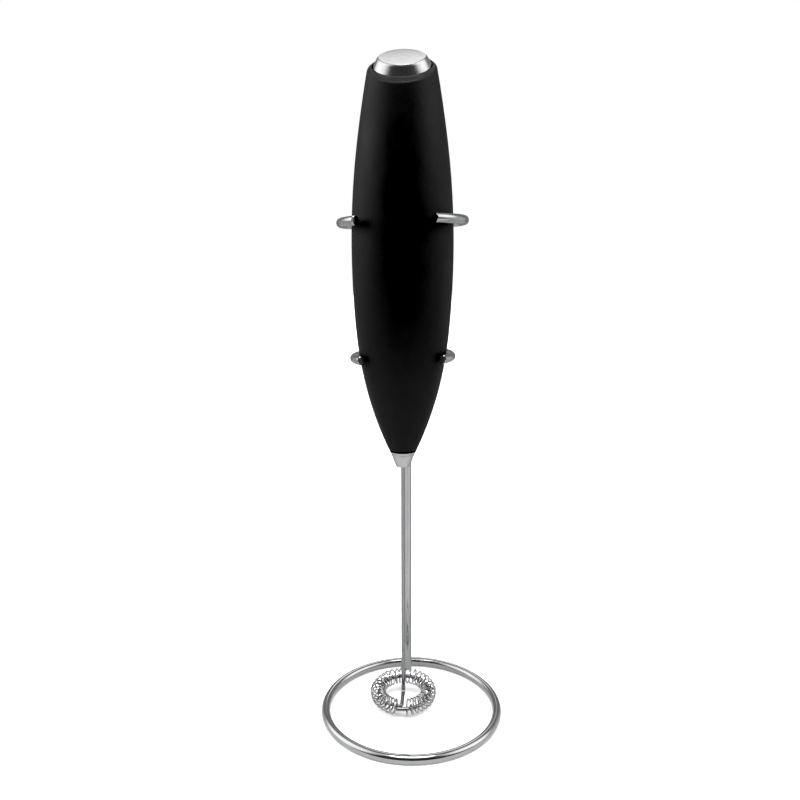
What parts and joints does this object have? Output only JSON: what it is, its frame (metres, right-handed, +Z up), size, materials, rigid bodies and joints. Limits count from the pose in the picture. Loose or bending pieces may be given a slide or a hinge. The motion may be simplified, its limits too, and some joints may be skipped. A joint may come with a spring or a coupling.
{
  "type": "milk frother with wire stand",
  "caption": "Battery milk frother with a tapered handle, slanted push button and spinning coil whisk, held upright in a bent-wire stand with two open clips.",
  "frame": {"origin": "centre of the stand's base ring, on the surface it rests on", "axes": "+Z up along the frother and the upright; -Y is the front, where the clips are open and the slanted button faces; +X to the right seen from the front"},
  "size_m": [0.0676, 0.0676, 0.238],
  "materials": {
    "polished_wire": "polished stainless wire, bright highlights",
    "soft_black": "matt black soft-touch coating over moulded plastic",
    "black_plastic": "moulded black plastic",
    "black_rubber": "thin black seal",
    "plated_steel": "zinc plated steel",
    "brass_strip": "bare brass",
    "battery_jacket": "printed metal jacket without any print, bare metal ends",
    "nickel_contact": "nickel plated spring steel",
    "spring_steel": "drawn spring wire",
    "bronze_bush": "sintered bronze",
    "nylon_bush": "natural nylon",
    "white_plastic": "moulded white plastic",
    "ferrite": "sintered ferrite",
    "carbon": "carbon brush on its arm",
    "rotor_steel": "stacked steel laminations",
    "enamelled_copper": "enamelled copper wire",
    "polished_shaft": "drawn and polished steel wire",
    "satin_metal": "satin brushed metal",
    "whisk_wire": "fine bright spring wire"
  },
  "bodies": {
    "stand": {"stand_base_ring": "polished_wire", "stand_upright": "polished_wire", "stand_upper_clip": "polished_wire", "stand_lower_clip": "polished_wire"},
    "handle": {"handle_shell": "soft_black", "button_retainer": "black_plastic", "battery_tray": "black_plastic", "tray_screws": "plated_steel", "battery_left": "battery_jacket", "battery_right": "battery_jacket", "lower_spring_contact": "nickel_contact", "lower_pad_contact": "nickel_contact", "upper_pad_contact": "nickel_contact", "upper_spring_contact": "nickel_contact", "leaf_post": "brass_strip", "switch_pad": "brass_strip", "switch_bridge": "black_plastic", "button_spring": "spring_steel", "motor_can": "plated_steel", "motor_front_bush": "bronze_bush", "motor_end_bell": "white_plastic", "motor_rear_bush": "bronze_bush", "motor_magnets": "ferrite", "motor_brushes": "carbon", "motor_terminals": "brass_strip", "motor_mount": "black_plastic", "motor_screws": "plated_steel", "seal_ring": "black_rubber", "nose_cap": "satin_metal", "nose_bush": "nylon_bush"},
    "cover": {"battery_cover": "soft_black"},
    "button": {"button_cap": "satin_metal", "button_insert": "black_plastic"},
    "leaf": {"switch_leaf": "brass_strip"},
    "rotor": {"motor_shaft": "polished_shaft", "armature_core": "rotor_steel", "armature_windings": "enamelled_copper", "commutator": "enamelled_copper", "shaft_coupling": "brass_strip", "whisk_shaft": "polished_shaft", "whisk_coil": "whisk_wire"}
  },
  "joints": [
    {"name": "frother_lift", "type": "slide", "parent": "stand", "child": "handle", "axis": [0, 0, 1], "range_m": [0, 0.19]},
    {"name": "cover_slide", "type": "slide", "parent": "handle", "child": "cover", "axis": [0, 0, 1], "range_m": [0, 0.105]},
    {"name": "button_press", "type": "slide", "parent": "handle", "child": "button", "axis": [0, 0, -1], "range_m": [0, 0.0012], "stiffness_N_per_m": 1500, "springref_m": -0.0008, "deforming": ["button_spring"]},
    {"name": "leaf_flex", "type": "hinge", "parent": "handle", "child": "leaf", "pos_m": [-0.01083, 0.00461, 0.20333], "axis": [0, 1, 0], "range_deg": [0, 3.4]},
    {"name": "whisk_spin", "type": "hinge", "parent": "handle", "child": "rotor", "pos_m": [-0.00333, 0.00461, 0.111], "axis": [0, 0, 1], "continuous": true}
  ],
  "couplings": [
    {"joint": "leaf_flex", "follows": "button_press", "rad_per_m": 48}
  ]
}
